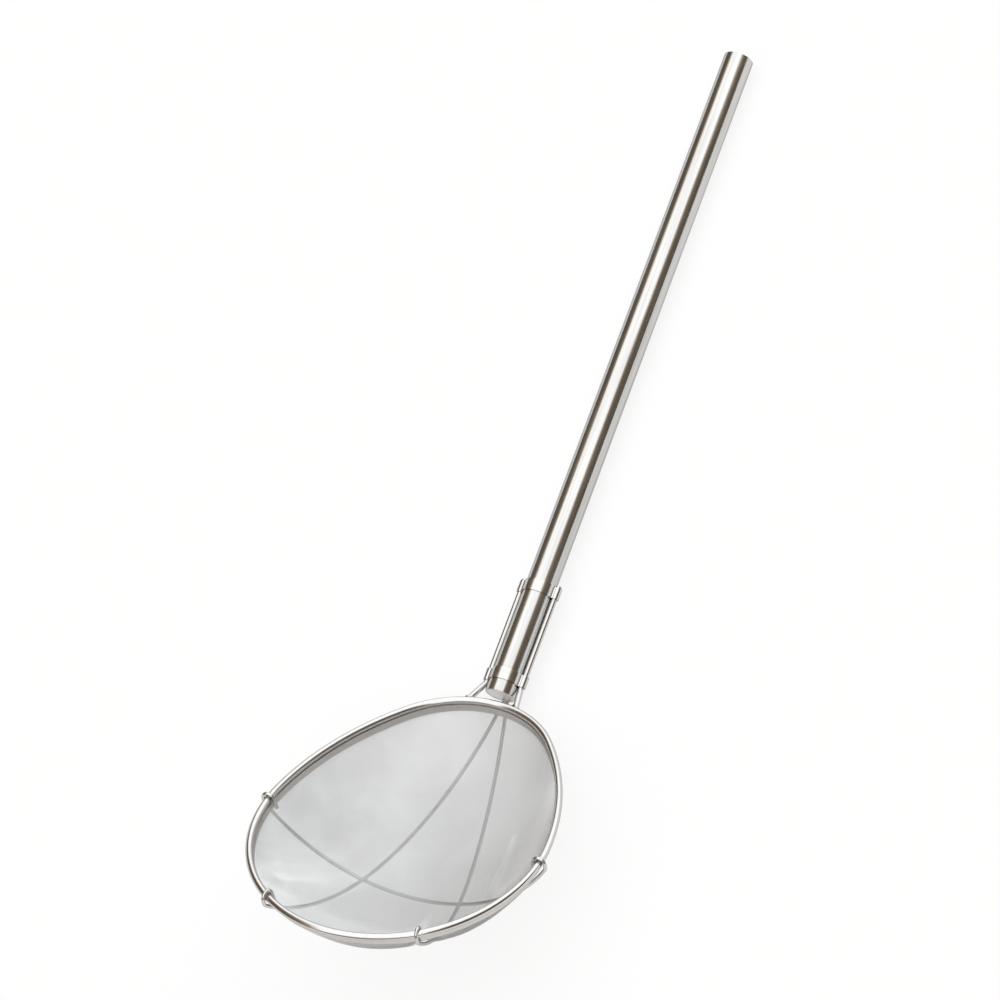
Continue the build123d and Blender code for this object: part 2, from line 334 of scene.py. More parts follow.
class Wiring:
    """A small helper that adds nodes to a tree and joins them."""

    COLUMN_WIDTH = 190.0
    ROW_HEIGHT = 160.0
    ROWS = 3
    MIX_FACTOR, MIX_FIRST, MIX_SECOND, MIX_COLOUR = 0, 6, 7, 2

    def __init__(self, tree: bpy.types.NodeTree) -> None:
        """Hold the tree.

        Args:
            tree: the node tree of a material, a world or a group.
        """
        self.tree = tree
        self.column = 0

    def add(self, kind: str, **settings: object) -> bpy.types.Node:
        """Add a node.

        Args:
            kind: the node's type name.
            settings: the node's own settings, such as its operation.

        Returns:
            The new node.
        """
        node = self.tree.nodes.new(kind)
        row = self.column % self.ROWS
        node.location = (self.column * self.COLUMN_WIDTH, -row * self.ROW_HEIGHT)
        self.column += 1
        for name, value in settings.items():
            setattr(node, name, value)
        return node

    def join(self, source: object, target: bpy.types.NodeSocket) -> None:
        """Feed an input from a socket or set it to a plain value.

        Args:
            source: an output socket, a number or a tuple.
            target: the input socket.
        """
        if isinstance(source, bpy.types.NodeSocket):
            self.tree.links.new(source, target)
        else:
            target.default_value = source

    def math(self, operation: str, *values: object) -> bpy.types.NodeSocket:
        """Add a Math node.

        Args:
            operation: the sum to do, as Blender names it.
            values: its inputs, sockets or numbers.

        Returns:
            The result's socket.
        """
        node = self.add("ShaderNodeMath", operation=operation)
        for number, value in enumerate(values):
            self.join(value, node.inputs[number])
        return node.outputs[0]

    def ramp(
        self, value: object, low: float, high: float, start: float, end: float
    ) -> bpy.types.NodeSocket:
        """Map a value smoothly from one range to another.

        Args:
            value: the socket to map.
            low: the value that gives start.
            high: the value that gives end.
            start: the result at and below low.
            end: the result at and above high.

        Returns:
            The result's socket.
        """
        node = self.add("ShaderNodeMapRange", interpolation_type="SMOOTHSTEP")
        for name, source in zip(
            ("Value", "From Min", "From Max", "To Min", "To Max"), (value, low, high, start, end)
        ):
            self.join(source, node.inputs[name])
        return node.outputs["Result"]

    def blend(self, factor: object, first: object, second: object) -> bpy.types.NodeSocket:
        """Mix two colours.

        Args:
            factor: share of the second colour.
            first: a colour or its socket.
            second: a colour or its socket.

        Returns:
            The mixed colour's socket.
        """
        node = self.add("ShaderNodeMix", data_type="RGBA")
        self.join(factor, node.inputs[self.MIX_FACTOR])
        self.join(first, node.inputs[self.MIX_FIRST])
        self.join(second, node.inputs[self.MIX_SECOND])
        return node.outputs[self.MIX_COLOUR]

    def noise(
        self, vector: object, scale: object, detail: float, roughness: float
    ) -> bpy.types.NodeSocket:
        """Add a Noise texture.

        Args:
            vector: the coordinates' socket.
            scale: how many blotches there are to a metre.
            detail: how many finer layers there are.
            roughness: how strong the finer layers are.

        Returns:
            The noise value's socket.
        """
        node = self.add("ShaderNodeTexNoise")
        self.join(vector, node.inputs["Vector"])
        self.join(scale, node.inputs["Scale"])
        self.join(detail, node.inputs["Detail"])
        self.join(roughness, node.inputs["Roughness"])
        return node.outputs["Fac"]

    def stretch(self, value: object, gain: float, contrast: object) -> bpy.types.NodeSocket:
        """Stretch a noise value about its middle and hold it between 0 and 1.

        Args:
            value: the noise value's socket.
            gain: how far it is stretched at a contrast of 1.
            contrast: the socket that scales the stretch.

        Returns:
            The stretched value's socket.
        """
        spread = self.math("MULTIPLY", self.math("SUBTRACT", value, 0.5), gain)
        held = self.math("MULTIPLY_ADD", spread, contrast, 0.5)
        return self.math("MINIMUM", self.math("MAXIMUM", held, 0.0), 1.0)

    def effect(self, group: bpy.types.NodeTree, vector: object, **values: float) -> bpy.types.Node:
        """Place a shared node group with its own values.

        Args:
            group: the shared group.
            vector: the coordinates' socket.
            values: the group's other inputs, by name.

        Returns:
            The group's node.
        """
        node = self.add("ShaderNodeGroup", node_tree=group)
        self.join(vector, node.inputs["Vector"])
        for name, value in values.items():
            self.join(value, node.inputs[name])
        return node

    def relief(self, height: object, strength: float, distance: float) -> bpy.types.NodeSocket:
        """Bend the normal by a height.

        Args:
            height: the height's socket.
            strength: how much of the relief shows.
            distance: how high the relief is.

        Returns:
            The bent normal's socket.
        """
        bump = self.add("ShaderNodeBump")
        bump.inputs["Strength"].default_value = strength
        bump.inputs["Distance"].default_value = distance
        self.join(height, bump.inputs["Height"])
        return bump.outputs["Normal"]


def rgba(colour: Colour) -> tuple[float, float, float, float]:
    """Give a colour its full cover."""
    return (*colour, 1.0)


def start_material(name: str) -> tuple[bpy.types.Material, Wiring, bpy.types.ShaderNode]:
    """Start a material.

    Args:
        name: its name.

    Returns:
        The material, its wiring and its shader.
    """
    material = bpy.data.materials.new(name)
    material.use_nodes = True
    tree = material.node_tree
    return material, Wiring(tree), tree.nodes["Principled BSDF"]


class SharedEffects:
    """The node groups that more than one finish uses, built once."""

    BROAD_SHARE = 0.31
    STREAK_GAIN = 3.0
    SMUDGE_GAIN = 2.6

    def __init__(self) -> None:
        """Build the groups."""
        self.streaks = self._streaks()
        self.smudges = self._smudges()

    @staticmethod
    def _group(
        name: str, inputs: dict[str, tuple[str, object]], outputs: dict[str, str]
    ) -> tuple[bpy.types.NodeTree, Wiring, bpy.types.Node, bpy.types.Node]:
        """Start a node group with named sockets.

        Args:
            name: the group's name.
            inputs: each input's socket type and first value.
            outputs: each output's socket type.

        Returns:
            The group, its wiring, its input node and its output node.
        """
        group = bpy.data.node_groups.new(name, "ShaderNodeTree")
        for label, (kind, value) in inputs.items():
            socket = group.interface.new_socket(name=label, in_out="INPUT", socket_type=kind)
            if value is not None:
                socket.default_value = value
        for label, kind in outputs.items():
            group.interface.new_socket(name=label, in_out="OUTPUT", socket_type=kind)
        wiring = Wiring(group)
        return group, wiring, wiring.add("NodeGroupInput"), wiring.add("NodeGroupOutput")

    def _streaks(self) -> bpy.types.NodeTree:
        """Build the fine marks that drawing leaves along a tube, wire or strap.

        Returns:
            The group, with a Mask of the marks and their Height.
        """
        group, wiring, given, result = self._group(
            "drawing_streaks",
            {
                "Vector": ("NodeSocketVector", None),
                "Fineness": ("NodeSocketFloat", 900.0),
                "Contrast": ("NodeSocketFloat", 0.5),
            },
            {"Mask": "NodeSocketFloat", "Height": "NodeSocketFloat"},
        )
        place, fineness = given.outputs["Vector"], given.outputs["Fineness"]
        fine = wiring.noise(place, fineness, detail=2.0, roughness=0.6)
        coarseness = wiring.math("MULTIPLY", fineness, self.BROAD_SHARE)
        broad = wiring.noise(place, coarseness, detail=1.0, roughness=0.5)
        mean = wiring.math("MULTIPLY", wiring.math("ADD", fine, broad), 0.5)
        mask = wiring.stretch(mean, self.STREAK_GAIN, given.outputs["Contrast"])
        wiring.join(mask, result.inputs["Mask"])
        wiring.join(fine, result.inputs["Height"])
        return group

    def _smudges(self) -> bpy.types.NodeTree:
        """Build the faint cloudy marks that handling and washing leave on steel.

        Returns:
            The group, with a Mask of the marks.
        """
        group, wiring, given, result = self._group(
            "handling_smudges",
            {
                "Vector": ("NodeSocketVector", None),
                "Scale": ("NodeSocketFloat", 40.0),
                "Contrast": ("NodeSocketFloat", 0.5),
            },
            {"Mask": "NodeSocketFloat"},
        )
        place, scale = given.outputs["Vector"], given.outputs["Scale"]
        cloud = wiring.noise(place, scale, detail=4.0, roughness=0.55)
        mask = wiring.stretch(cloud, self.SMUDGE_GAIN, given.outputs["Contrast"])
        wiring.join(mask, result.inputs["Mask"])
        return group


@dataclass(frozen=True)
class SteelFinish:
    """A stainless steel surface: its tone, how sharp it mirrors, and the marks on it."""

    name: str
    light: Colour
    dark: Colour
    smooth: float
    rough: float
    fineness: float = 900.0
    contrast: float = 0.5
    grain: Grain = Grain.ROUND_WIRE
    lean: float = 0.0
    smudge_scale: float = 45.0
    wear: tuple[float, float] = (0.2, 0.8)
    relief: float = 0.00002
    relief_shown: float = 0.35
    grazing: Colour = (0.62, 0.60, 0.58)

    def material(self, effects: SharedEffects) -> bpy.types.Material:
        """Build the finish.

        Args:
            effects: the shared node groups.

        Returns:
            The material.
        """
        material, wiring, shader = start_material(self.name)
        place = wiring.add("ShaderNodeTexCoord").outputs["Object"]
        turn = wiring.add("ShaderNodeMapping", vector_type="POINT")
        turn.inputs["Rotation"].default_value = (self.lean, 0.0, 0.0)
        turn.inputs["Scale"].default_value = self.grain.value
        wiring.join(place, turn.inputs["Vector"])
        streaks = wiring.effect(
            effects.streaks, turn.outputs["Vector"], Fineness=self.fineness, Contrast=self.contrast
        )
        smudges = wiring.effect(effects.smudges, place, Scale=self.smudge_scale)
        tone = wiring.blend(streaks.outputs["Mask"], rgba(self.dark), rgba(self.light))
        wiring.join(tone, shader.inputs["Base Color"])
        smudged = wiring.math("MULTIPLY", smudges.outputs["Mask"], 0.5)
        mean = wiring.math("MULTIPLY_ADD", streaks.outputs["Mask"], 0.5, smudged)
        worn = wiring.ramp(mean, *self.wear, self.smooth, self.rough)
        wiring.join(worn, shader.inputs["Roughness"])
        bent = wiring.relief(streaks.outputs["Height"], self.relief_shown, self.relief)
        wiring.join(bent, shader.inputs["Normal"])
        shader.inputs["Metallic"].default_value = 1.0
        shader.inputs["Specular Tint"].default_value = rgba(self.grazing)
        return material


@dataclass(frozen=True)
class GauzeFinish:
    """Fine plain-woven steel gauze, seen through between its wires.

    It is clouded from washing, and a painted shade darkens its colour towards its right side.
    """

    name: str = "gauze_steel"
    uv_name: str = "unrolled"
    pitch: float = 0.0005
    wire: float = 0.000108
    light: Colour = (0.82, 0.855, 0.875)
    dark: Colour = (0.60, 0.62, 0.63)
    # painted shade: the dark colour that the gauze fades to towards its right side
    painted_shade: Colour = (0.34, 0.335, 0.325)
    painted_shade_reach: tuple[float, float] = (-0.105, 0.085)
    painted_shade_share: float = 0.9
    smooth: float = 0.38
    rough: float = 0.50
    metallic: float = 0.75
    cloud_scale: float = 15.0
    cloud_contrast: float = 1.8
    under: float = 0.5
    relief_shown: float = 0.6

    def material(self, effects: SharedEffects) -> bpy.types.Material:
        """Build the woven finish.

        Args:
            effects: the shared node groups.

        Returns:
            The material.
        """
        material, wiring, shader = start_material(self.name)
        material.use_backface_culling = False
        sheet = wiring.add("ShaderNodeUVMap", uv_map=self.uv_name).outputs["UV"]
        split = wiring.add("ShaderNodeSeparateXYZ")
        wiring.join(sheet, split.inputs[0])
        half = self.wire / self.pitch / 2
        wires, crests, cells = [], [], []
        for axis in ("X", "Y"):
            count = wiring.math("DIVIDE", split.outputs[axis], self.pitch)
            cells.append(wiring.math("FLOOR", count))
            off = wiring.math("ABSOLUTE", wiring.math("SUBTRACT", wiring.math("FRACT", count), 0.5))
            wires.append(wiring.math("LESS_THAN", off, half))
            square = wiring.math("POWER", wiring.math("DIVIDE", off, half), 2.0)
            arch = wiring.math("SUBTRACT", 1.0, square)
            crests.append(wiring.math("SQRT", wiring.math("MAXIMUM", arch, 0.0)))
        parity = wiring.math("PINGPONG", wiring.math("ADD", *cells), 1.0)
        dip = 1.0 - self.under
        rising = wiring.math("MULTIPLY_ADD", parity, dip, self.under)
        falling = wiring.math("MULTIPLY_ADD", parity, -dip, 1.0)
        warp = wiring.math("MULTIPLY", crests[0], rising)
        weft = wiring.math("MULTIPLY", crests[1], falling)
        height = wiring.math("MAXIMUM", warp, weft)
        cover = wiring.math("MAXIMUM", *wires)
        place = wiring.add("ShaderNodeTexCoord").outputs["Object"]
        clouds = wiring.effect(
            effects.smudges, place, Scale=self.cloud_scale, Contrast=self.cloud_contrast
        )
        clouded_tone = wiring.blend(clouds.outputs["Mask"], rgba(self.dark), rgba(self.light))
        side = wiring.add("ShaderNodeSeparateXYZ")
        wiring.join(place, side.inputs[0])
        # painted shade: the gauze's colour darkens across its width towards the right side
        right_shade = wiring.ramp(side.outputs["X"], *self.painted_shade_reach, 0.0, self.painted_shade_share)
        tone = wiring.blend(right_shade, clouded_tone, rgba(self.painted_shade))
        wiring.join(tone, shader.inputs["Base Color"])
        wiring.join(cover, shader.inputs["Alpha"])
        bent = wiring.relief(height, self.relief_shown, self.wire)
        wiring.join(bent, shader.inputs["Normal"])
        worn = wiring.ramp(clouds.outputs["Mask"], 0.0, 1.0, self.smooth, self.rough)
        wiring.join(worn, shader.inputs["Roughness"])
        shader.inputs["Metallic"].default_value = self.metallic
        return material


def place_mesh(
    bm: bmesh.types.BMesh, name: str, material: bpy.types.Material
) -> bpy.types.Object:
    """Put a bmesh into the scene.

    Args:
        bm: the finished bmesh, which is freed.
        name: the object's name.
        material: its material.

    Returns:
        The new object.
    """
    mesh = bpy.data.meshes.new(name)
    bm.to_mesh(mesh)
    bm.free()
    mesh.materials.append(material)
    placed = bpy.data.objects.new(name, mesh)
    bpy.context.scene.collection.objects.link(placed)
    return placed


def finish_mesh(
    bm: bmesh.types.BMesh, name: str, material: bpy.types.Material
) -> bpy.types.Object:
    """Turn a bmesh into a smooth piece that rides on the tool.

    Args:
        bm: the finished bmesh, which is freed.
        name: the piece's name.
        material: its material.

    Returns:
        The new object.
    """
    for face in bm.faces:
        face.smooth = True
    piece = place_mesh(bm, name, material)
    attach(piece, BODY)
    return piece


def report(piece: bpy.types.Object) -> None:
    """Log a piece's name and its size in millimetres."""
    size = [round(1000 * length, 1) for length in piece.dimensions]
    log.info("%s: %d faces, %s mm", piece.name, len(piece.data.polygons), size)


@dataclass(frozen=True)
class Crease:
    """A soft fold in the gauze, along a line that is given in the rim's plane."""

    start: tuple[float, float]
    end: tuple[float, float]
    height: float
    width: float

    def lift(self, place: Vector) -> float:
        """Measure how far the fold pushes the gauze out.

        Args:
            place: a point of the gauze in the rim's frame.

        Returns:
            The push there.
        """
        start = Vector(self.start)
        run = Vector(self.end) - start
        spot = place.xy - start
        share = min(1.0, max(0.0, spot.dot(run) / run.length_squared))
        return self.height * exp(-(((spot - run * share).length / self.width) ** 2))


@dataclass
class GauzeBowl:
    """The pressed gauze: a skirt in the hem, a tight shoulder, and a floor on the ribs."""

    rim: RimFrame
    ribs: RibLines
    inset: float = 0.0020
    entry: float = 0.0045
    hem_bottom: float = 0.00868
    shoulder: float = 0.002
    depth: float = 0.0669
    shift: float = 0.008
    wall: float = 0.0002
    around: int = 360
    skirt_rows: int = 3
    shoulder_rows: int = 6
    floor_rows: int = 62
    sag: float = 0.0008
    sag_gap: tuple[float, float] = (0.004, 0.030)
    bulge: float = 0.0036
    bulge_gap: tuple[float, float] = (0.0015, 0.011)
    bulge_rise: tuple[float, float] = (radians(-14), radians(14))
    bulge_fall: tuple[float, float] = (radians(42), radians(68))
    bulge_start: float = 0.004
    bulge_end: float = 0.046
    steepness: float = 1.4
    ripple: float = 0.0005
    ripple_scale: float = 22.0
    creases: tuple[Crease, ...] = (
        Crease((0.052, 0.048), (0.068, -0.062), 0.0019, 0.0075),
        Crease((0.030, -0.024), (0.044, -0.084), -0.0015, 0.0070),
        Crease((-0.082, -0.078), (-0.050, -0.038), -0.0015, 0.0080),
        Crease((-0.084, 0.091), (-0.070, 0.086), 0.0005, 0.0025),
        Crease((-0.020, 0.100), (-0.072, -0.004), 0.0004, 0.0100),
    )

    def profile(self) -> list[tuple[float, float, float]]:
        """Lay out the rings of the bowl, from the skirt's top edge to the middle of the floor.

        Returns:
            For each ring its share of the full outline, its depth below the rim's plane, and the
            bulge's share of strength there.
        """
        reach = self.rim.side_radius - self.rim.side_across - self.inset
        depth = self.depth - self.hem_bottom
        slope = 2 * atan((depth - self.shoulder) / (reach - self.shoulder))
        radius = self.shoulder + (reach - self.shoulder) / sin(slope)
        rings = []
        for row in range(self.skirt_rows):
            rings.append((1.0, self.hem_bottom - self.entry * (1 - row / self.skirt_rows), 0.0))
        for row in range(self.shoulder_rows):
            turn = pi / 2 - (pi / 2 - slope) * row / self.shoulder_rows
            across = reach - self.shoulder * (1 - sin(turn))
            drop = self.shoulder * cos(turn)
            rings.append((across / reach, self.hem_bottom + drop, self.swell(drop)))
        for row in range(self.floor_rows + 1):
            turn = slope * (1 - row / self.floor_rows)
            drop = depth - radius * (1 - cos(turn))
            swell = self.swell(self.shoulder * cos(slope) + radius * (slope - turn))
            rings.append((radius * sin(turn) / reach, self.hem_bottom + drop, swell))
        return rings

    def swell(self, run: float) -> float:
        """Give the bulge's share of strength at a distance down from the hem.

        Args:
            run: length of gauze from the hem.

        Returns:
            The share, from 0 to 1.
        """
        rise = smooth_step(-self.bulge_start, self.bulge_start, run) * 2 - 1
        return max(0.0, rise) * (1 - smooth_step(self.bulge_start, self.bulge_end, run))

    def bulged(self, place: Vector, strength: float) -> Vector:
        """Push a point of the gauze out between the ribs and give it its slight unevenness.

        Args:
            place: the point in the rim's frame.
            strength: the bulge's share of strength at its ring.

        Returns:
            The moved point in the rim's frame.
        """
        off = self.ribs.nearest(place.x, place.y)
        bearing = atan2(place.x, -place.y)
        slack = smooth_step(*self.sag_gap, off)
        loose = smooth_step(*self.bulge_rise, bearing)
        loose *= 1 - smooth_step(*self.bulge_fall, bearing)
        outward = Vector((place.x, place.y, place.z * self.steepness)).normalized()
        push = self.sag * slack + self.bulge * loose * smooth_step(*self.bulge_gap, off)
        uneven = noise.noise(place * self.ripple_scale) * self.ripple * slack
        free = smooth_step(self.hem_bottom, self.hem_bottom * 2, -place.z)
        folds = sum(crease.lift(place) for crease in self.creases) * free
        return place + outward * (push * strength + uneven + folds)

    def build(self, material: bpy.types.Material, uv_name: str) -> bpy.types.Object:
        """Press the gauze from a flat sheet, ring by ring.

        Args:
            material: the woven finish.
            uv_name: the name of the map that unrolls the gauze.

        Returns:
            The gauze piece, which stands for the plain solid.
        """
        rings = self.profile()
        rows = len(rings) - 1
        runs = [0.0]
        for (share, drop, _), (next_share, next_drop, _) in zip(rings, rings[1:]):
            runs.append(runs[-1] + hypot((share - next_share) * self.rim.half, next_drop - drop))
        bm = bmesh.new()
        unrolled = bm.loops.layers.uv.new(uv_name)
        bmesh.ops.create_grid(bm, x_segments=self.around, y_segments=rows, size=0.5)
        flat: dict[bmesh.types.BMVert, Vector] = {}
        for vert in bm.verts:
            bearing = tau * (vert.co.x + 0.5)
            row = round((vert.co.y + 0.5) * rows)
            share, drop, strength = rings[row]
            spot = self.rim.outline(bearing, self.inset, share, self.shift * (1 - share))
            vert.co = self.bulged(Vector((spot.x, spot.y, -drop)), strength)
            flat[vert] = Vector((cos(bearing), sin(bearing))) * (runs[-1] - runs[row])
        for face in bm.faces:
            for loop in face.loops:
                loop[unrolled].uv = flat[loop.vert]
        bmesh.ops.remove_doubles(bm, verts=bm.verts, dist=MERGE_DISTANCE)
        for vert in bm.verts:
            vert.co = self.rim.at(*vert.co)
        bmesh.ops.recalc_face_normals(bm, faces=bm.faces)
        piece = finish_mesh(bm, "gauze", material)
        wall = piece.modifiers.new("wall", "SOLIDIFY")
        wall.thickness = self.wall
        wall.offset = -1.0
        wall.use_rim = True
        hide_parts("mesh_bowl")
        return piece


@dataclass
class WeldBeads:
    """The beads of weld that join the wires to the rim, the tube and each other."""

    rim: RimFrame
    tube: TubeFrame
    ribs: RibLines
    fork_gap: float = 0.0002
    fork_wire: float = 0.005
    fork_corner: float = 0.0075
    foot_spread: float = 0.0215
    foot_rise: float = 0.0003
    foot_bead: Place = (0.0042, 0.0033, 0.0011)
    foot_bead_out: float = 0.0031
    tube_bead: Place = (0.0052, 0.0019, 0.0009)
    tube_bead_out: float = 0.0002
    tube_bead_share: float = 0.62
    crossing_bead: Place = (0.0019, 0.0019, 0.0009)
    bead_segments: tuple[int, int] = (20, 12)
    wave: float = 0.06
    wave_turn: float = 11.0
    unevenness: float = 0.05
    uneven_scale: float = 3.1
    disc_radius: float = 0.01148
    disc_bead: float = 0.00042
    disc_segments: int = 10
    disc_steps: int = 96

    def bead(
        self, bm: bmesh.types.BMesh, centre: Vector, along: Vector, out: Vector, size: Place
    ) -> None:
        """Lay one rippled bead of weld.

        Args:
            bm: the bmesh that takes the bead.
            centre: its middle.
            along: the direction that it runs in.
            out: the direction that it stands out in.
            size: its half length, half width and half height.
        """
        x_axis = along.normalized()
        z_axis = (out - x_axis * out.dot(x_axis)).normalized()
        turn = Matrix((x_axis, z_axis.cross(x_axis), z_axis)).transposed().to_4x4()
        around, rows = self.bead_segments
        made = bmesh.ops.create_uvsphere(bm, u_segments=around, v_segments=rows, radius=1.0)
        for vert in made["verts"]:
            x, y, z = vert.co
            waved = self.wave * sin(x * self.wave_turn)
            uneven = self.unevenness * noise.noise(vert.co * self.uneven_scale)
            ripple = 1 + waved + uneven
            vert.co = Vector((x * size[0], y * size[1] * ripple, z * size[2] * ripple))
        bmesh.ops.transform(bm, matrix=Matrix.Translation(centre) @ turn, verts=made["verts"])

    def ring(self, bm: bmesh.types.BMesh, station: float) -> None:
        """Lay the fine bead that closes a disc into the tube.

        Args:
            bm: the bmesh that takes the ring.
            station: where it lies along the tube.
        """
        made = bmesh.ops.create_circle(
            bm, cap_ends=False, radius=self.disc_bead, segments=self.disc_segments
        )
        place = Matrix.Translation((self.disc_radius, 0.0, 0.0)) @ Matrix.Rotation(pi / 2, 4, "X")
        bmesh.ops.transform(bm, matrix=place, verts=made["verts"])
        loop = made["verts"] + list({edge for vert in made["verts"] for edge in vert.link_edges})
        bmesh.ops.spin(
            bm,
            geom=loop,
            cent=(0, 0, 0),
            axis=(0, 0, 1),
            angle=tau,
            steps=self.disc_steps,
            use_merge=True,
        )
        axis = self.tube.axis
        turn = Matrix((SIDEWAYS, axis.cross(SIDEWAYS), axis)).transposed().to_4x4()
        bmesh.ops.recalc_face_normals(bm, faces=bm.faces)
        place = Matrix.Translation(self.tube.at(0.0, 0.0, station)) @ turn
        bmesh.ops.transform(bm, matrix=place, verts=bm.verts)

    def fork_welds(self, material: bpy.types.Material) -> bpy.types.Object:
        """Weld the two feet of the fork to the rim.

        Args:
            material: the finish of the wires.

        Returns:
            The piece with both beads.
        """
        bm = bmesh.new()
        offset = self.tube.radius + self.fork_gap + self.fork_wire / 2
        along = self.rim.back_centre + sqrt(self.rim.back_radius**2 - self.foot_spread**2)
        for side in (-1, 1):
            foot = self.rim.at(side * self.foot_spread, along, self.foot_rise)
            corner = self.tube.at(side * offset, 0.0, self.fork_corner)
            out = (corner - foot).normalized()
            spin = self.rim.along(side * self.foot_spread, along - self.rim.back_centre, 0.0)
            rim_run = spin.cross(self.rim.along(0.0, 0.0, 1.0))
            self.bead(bm, foot + out * self.foot_bead_out, rim_run, out, self.foot_bead)
        bmesh.ops.recalc_face_normals(bm, faces=bm.faces)
        return finish_mesh(bm, "fork_welds", material)

    def rib_welds(self, material: bpy.types.Material) -> bpy.types.Object:
        """Weld the long ribs to the tube's underside and to the cross rib.

        Args:
            material: the finish of the wires.

        Returns:
            The piece with the four beads.
        """
        bm = bmesh.new()
        ribs, tube = self.ribs, self.tube
        meeting = ribs.crossing()
        for side in (-1, 1):
            out = Vector((side * ribs.weld_offset, 0.0, 0.0)) - tube.up * ribs.hang
            start = tube.at(0.0, 0.0, ribs.weld_length * self.tube_bead_share)
            centre = start + out.normalized() * (tube.radius + self.tube_bead_out)
            self.bead(bm, centre, tube.axis, out, self.tube_bead)
            crossing = self.rim.at(side * meeting.x, meeting.y, meeting.z)
            self.bead(bm, crossing, SIDEWAYS, self.rim.along(0, 0, 1), self.crossing_bead)
        bmesh.ops.recalc_face_normals(bm, faces=bm.faces)
        return finish_mesh(bm, "rib_welds", material)

    def disc_weld(
        self, name: str, station: float, material: bpy.types.Material
    ) -> bpy.types.Object:
        """Close one disc into the tube's end with a fine bead.

        Args:
            name: the piece's name.
            station: where the bead lies along the tube.
            material: the finish of the discs.

        Returns:
            The ring of weld.
        """
        bm = bmesh.new()
        self.ring(bm, station)
        return finish_mesh(bm, name, material)


@dataclass(frozen=True)
class Studio:
    """A plain pale floor under broad soft light that comes from above and behind."""

    floor_size: float = 60.0
    floor_drop: float = 0.0003
    floor_squares: int = 8
    floor_tone: float = 0.92
    floor_glow: float = 0.82
    floor_rough: float = 0.9
    floor_gloss: float = 0.1
    bright: float = 1.65
    half_dim: float = 0.36
    dim: float = 0.17
    bright_tone: Colour = (0.98, 0.99, 1.0)
    dim_tone: Colour = (1.0, 0.83, 0.64)
    band: tuple[float, float] = (0.47, 0.66)
    fringe: tuple[float, float] = (0.60, 0.82)
    near_side: tuple[float, float] = (-0.86, -0.66)
    horizon: tuple[float, float] = (0.0, 0.4)
    horizon_share: float = 0.7

    def world(self) -> None:
        """Light the scene with one broad band of soft light over the tool."""
        world = bpy.data.worlds.new("studio")
        world.use_nodes = True
        bpy.context.scene.world = world
        background = world.node_tree.nodes["Background"]
        wiring = Wiring(world.node_tree)
        split = wiring.add("ShaderNodeSeparateXYZ")
        wiring.join(wiring.add("ShaderNodeTexCoord").outputs["Generated"], split.inputs[0])
        width = wiring.math("ABSOLUTE", split.outputs["X"])
        across = wiring.ramp(width, *self.band, 1.0, 0.0)
        front = wiring.ramp(split.outputs["Y"], *self.near_side, 0.0, 1.0)
        light = wiring.math("MULTIPLY", across, front)
        side = wiring.ramp(width, *self.fringe, self.half_dim, self.dim)
        low = wiring.ramp(split.outputs["Z"], *self.horizon, self.horizon_share, 1.0)
        dark = wiring.math("MULTIPLY", side, low)
        rise = wiring.math("SUBTRACT", self.bright, dark)
        strength = wiring.math("MULTIPLY_ADD", light, rise, dark)
        colour = wiring.blend(light, rgba(self.dim_tone), rgba(self.bright_tone))
        wiring.join(colour, background.inputs["Color"])
        wiring.join(strength, background.inputs["Strength"])

    def floor(self) -> bpy.types.Object:
        """Lay the pale floor, which keeps a faint shadow of the tool.

        Returns:
            The floor.
        """
        material, wiring, shader = start_material("pale_floor")
        shader.inputs["Base Color"].default_value = rgba((self.floor_tone,) * 3)
        shader.inputs["Roughness"].default_value = self.floor_rough
        shader.inputs["Specular IOR Level"].default_value = self.floor_gloss
        path = wiring.add("ShaderNodeLightPath")
        seen = path.outputs["Is Camera Ray"]
        for kind in ("Is Glossy Ray", "Is Transmission Ray"):
            seen = wiring.math("MAXIMUM", seen, path.outputs[kind])
        glow = wiring.add("ShaderNodeEmission")
        mix = wiring.add("ShaderNodeMixShader")
        wiring.join(wiring.math("MULTIPLY", seen, self.floor_glow), mix.inputs[0])
        wiring.join(shader.outputs[0], mix.inputs[1])
        wiring.join(glow.outputs[0], mix.inputs[2])
        output = material.node_tree.nodes["Material Output"]
        wiring.join(mix.outputs[0], output.inputs["Surface"])
        bm = bmesh.new()
        squares = self.floor_squares
        bmesh.ops.create_grid(
            bm, x_segments=squares, y_segments=squares, size=self.floor_size / 2
        )
        bmesh.ops.translate(bm, vec=(0.0, 0.0, -self.floor_drop), verts=bm.verts)
        floor = place_mesh(bm, "floor", material)
        return floor


@dataclass(frozen=True)
class Shot:
    """The camera, at the photograph's angle, given in the rim's own frame."""

    aim: Place = (-0.041082, 0.267600, 0.104292)
    distance: float = 4.23188
    azimuth: float = radians(31.4615)
    elevation: float = radians(37.3665)
    roll: float = radians(8.6657)
    lens: float = 187.594
    sensor: float = 36.0
    clip: tuple[float, float] = (0.05, 200.0)

    def place(self, rim: RimFrame) -> bpy.types.Object:
        """Set the camera up.

        Args:
            rim: the rim's frame.

        Returns:
            The camera.
        """
        flat = cos(self.elevation)
        back = rim.along(
            sin(self.azimuth) * flat, -cos(self.azimuth) * flat, sin(self.elevation)
        )
        level_right = (-back).cross(rim.along(0, 0, 1)).normalized()
        level_up = level_right.cross(-back)
        up = level_up * cos(self.roll) + level_right * sin(self.roll)
        right = up.cross(back)
        data = bpy.data.cameras.new("photo_view")
        data.lens = self.lens
        data.sensor_width = self.sensor
        data.clip_start, data.clip_end = self.clip
        camera = bpy.data.objects.new("photo_view", data)
        turn = Matrix((right, up, back)).transposed().to_4x4()
        camera.matrix_world = Matrix.Translation(rim.at(*self.aim) + back * self.distance) @ turn
        bpy.context.scene.collection.objects.link(camera)
        bpy.context.scene.camera = camera
        return camera


